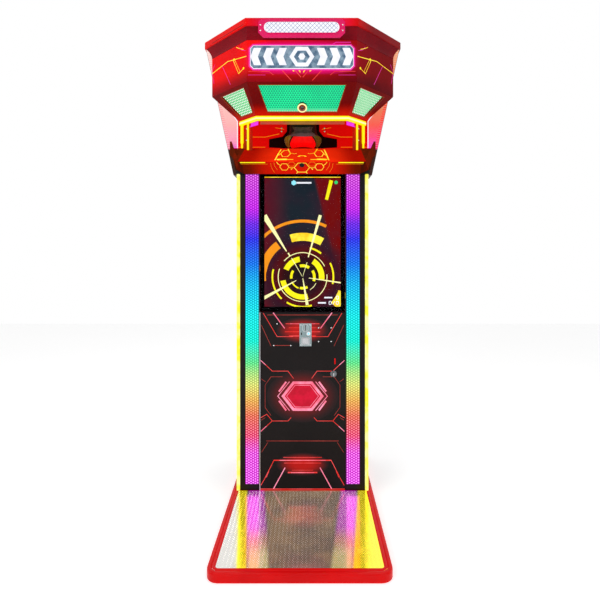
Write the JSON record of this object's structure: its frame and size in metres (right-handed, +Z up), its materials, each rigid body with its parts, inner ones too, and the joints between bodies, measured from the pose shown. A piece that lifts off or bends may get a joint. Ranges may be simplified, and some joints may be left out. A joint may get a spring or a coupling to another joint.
{
  "type": "boxing punch machine",
  "caption": "Free-standing arcade boxing machine: a lit column with a screen and tread platform carries a faceted head where a punch bag swings back from its hanging rest.",
  "frame": {"origin": "centre of the footprint on the floor", "axes": "+Z up, the player stands towards -Y, +X is the player's right when facing the machine"},
  "size_m": [0.945, 1.117, 2.177],
  "materials": {
    "red_gloss": "printed board under clear gloss lacquer",
    "red_board": "glossy printed board",
    "black_board": "satin black laminate",
    "tread_steel": "raised tread pattern",
    "steel": "machined",
    "zinc_plate": "zinc plated",
    "coin_metal": "bright plated",
    "yellow_light": "lit diffuser",
    "colour_light": "perforated lit panel",
    "green_mesh": "perforated sheet lit from behind",
    "pink_mesh": "lit mesh panel",
    "screen_glass": "polished, dark",
    "display_panel": "lit display",
    "white_light": "lit acrylic",
    "bag_leather": "stitched panels",
    "black_rubber": "matt",
    "black_plastic": "fine grain",
    "red_plastic": "smooth",
    "green_circuit": "circuit board"
  },
  "bodies": {
    "machine": {"bag_stop": "black_rubber", "base_platform": "red_gloss", "camera": "black_plastic", "cash_box": "zinc_plate", "cheek_left": "pink_mesh", "cheek_right": "pink_mesh", "column_side_left": "black_board", "column_side_right": "black_board", "column_stile_left": "black_board", "column_stile_right": "black_board", "control_board": "green_circuit", "cornice_cove": "red_gloss", "display_panel": "display_panel", "door_hinge_fixed": "steel", "fascia": "red_gloss", "head_back": "black_board", "head_floor": "black_board", "head_side_left": "pink_mesh", "head_side_right": "pink_mesh", "latch_solenoid": "black_plastic", "led_edge_left": "yellow_light", "led_edge_right": "yellow_light", "mains_inlet": "black_plastic", "neon_frame": "yellow_light", "pivot_frame": "zinc_plate", "post_left": "red_gloss", "post_right": "red_gloss", "power_supply": "black_plastic", "punch_ceiling": "black_board", "punch_tray": "red_gloss", "punch_wall": "red_board", "rgb_panel_left": "colour_light", "rgb_panel_right": "colour_light", "roof_cap": "red_gloss", "roof_panel": "black_board", "screen_glass": "screen_glass", "shaft_bearing_left": "steel", "shaft_bearing_right": "steel", "sign_plate": "white_light", "top_light_grille": "white_light", "tray_chin": "red_gloss", "tray_well": "red_board", "tread_plate": "tread_steel", "visor": "red_gloss", "visor_mesh": "green_mesh"},
    "bag": {"punch_bag": "bag_leather", "swing_arm": "steel", "pivot_shaft": "steel", "encoder_disc": "zinc_plate"},
    "latch": {"latch_pawl": "steel"},
    "plunger": {"latch_plunger": "steel"},
    "front_door": {"service_door": "black_board", "door_hinge_moving": "steel", "coin_plate": "coin_metal", "coin_mechanism": "black_plastic"},
    "lock": {"door_lock": "steel"},
    "coin_button": {"coin_return_button": "red_plastic"},
    "coin_flap": {"coin_return_flap": "coin_metal"},
    "back_door": {"rear_door": "black_board"},
    "start_button": {"tray_button": "black_plastic"}
  },
  "joints": [
    {"name": "bag_swing", "type": "hinge", "parent": "machine", "child": "bag", "pos_m": [0, 0.185, 1.937], "axis": [1, 0, 0], "range_deg": [-8, 85]},
    {"name": "latch_turn", "type": "hinge", "parent": "machine", "child": "latch", "pos_m": [0.034, 0.2, 2.022], "axis": [-1, 0, 0], "range_deg": [0, 8.5], "stiffness_Nm_per_rad": 0.2, "springref_deg": -11.46},
    {"name": "plunger_push", "type": "slide", "parent": "machine", "child": "plunger", "axis": [0, 1, 0], "range_m": [0, 0.006]},
    {"name": "front_door_swing", "type": "hinge", "parent": "machine", "child": "front_door", "pos_m": [-0.20245, 0.0587, 0.037], "axis": [0, 0, -1], "range_deg": [0, 100]},
    {"name": "lock_turn", "type": "hinge", "parent": "front_door", "child": "lock", "pos_m": [0.147, 0.0632, 0.587], "axis": [0, -1, 0], "range_deg": [0, 90]},
    {"name": "coin_return_push", "type": "slide", "parent": "front_door", "child": "coin_button", "axis": [0, 1, 0], "range_m": [0, 0.003], "stiffness_N_per_m": 120, "springref_m": -0.002},
    {"name": "coin_flap_swing", "type": "hinge", "parent": "front_door", "child": "coin_flap", "pos_m": [0.014, 0.061, 0.7577], "axis": [1, 0, 0], "range_deg": [0, 60]},
    {"name": "rear_door_swing", "type": "hinge", "parent": "machine", "child": "back_door", "pos_m": [0.2949, 0.539, 0.0335], "axis": [0, 0, -1], "range_deg": [0, 110]},
    {"name": "start_button_push", "type": "slide", "parent": "machine", "child": "start_button", "axis": [0, 0.7201, 0.6939], "range_m": [0, 0.002], "stiffness_N_per_m": 120, "springref_m": -0.002}
  ],
  "couplings": [
    {"joint": "plunger_push", "follows": "latch_turn", "m_per_rad": 0.04}
  ]
}
